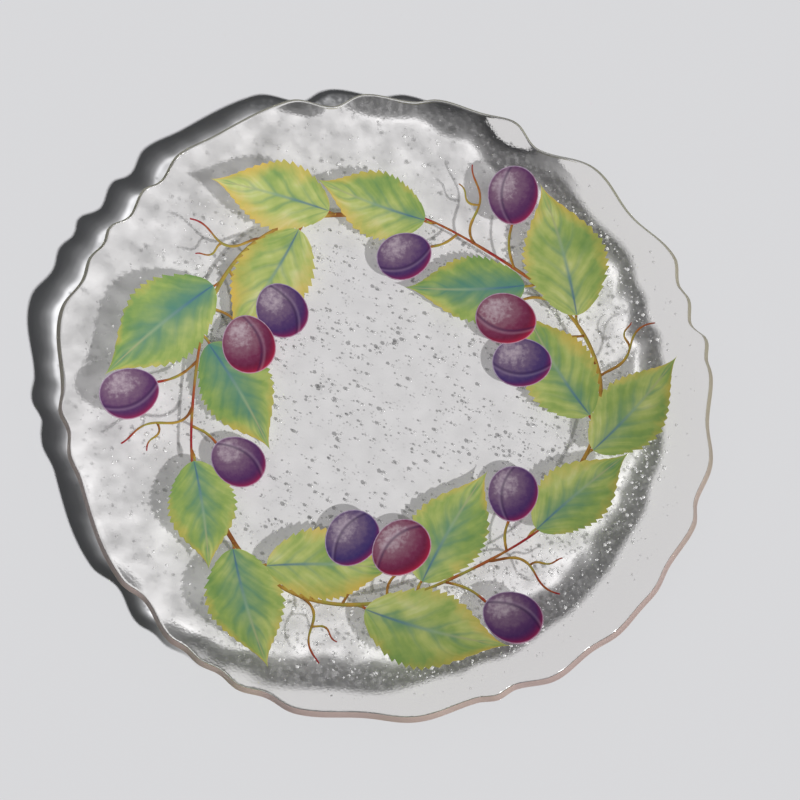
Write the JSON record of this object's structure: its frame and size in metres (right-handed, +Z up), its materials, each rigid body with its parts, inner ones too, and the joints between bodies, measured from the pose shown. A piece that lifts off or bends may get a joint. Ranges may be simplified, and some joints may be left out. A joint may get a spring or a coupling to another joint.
{
  "type": "glass plate",
  "caption": "Round shallow plate of clear seeded glass with an uneven wavy edge, painted with a ring of fruit sprigs in fired enamel, for serving or display.",
  "frame": {"origin": "middle of the flat foot, on the surface that the plate stands on", "axes": "+Z up out of the dish, +Y away from the viewer of the picture, +X to the viewer's right"},
  "size_m": [0.2717, 0.272, 0.0226],
  "materials": {
    "seeded_glass": "clear, fire-polished, full of fine seeds",
    "leaf_enamel": "fired enamel paint, satin gloss, yellow-green to blue-green",
    "fruit_enamel": "fired enamel paint, satin gloss, blue-violet to crimson",
    "twig_enamel": "fired enamel paint, satin gloss, ochre to red-brown"
  },
  "bodies": {
    "root": {"glass_plate": "seeded_glass"}
  },
  "joints": []
}
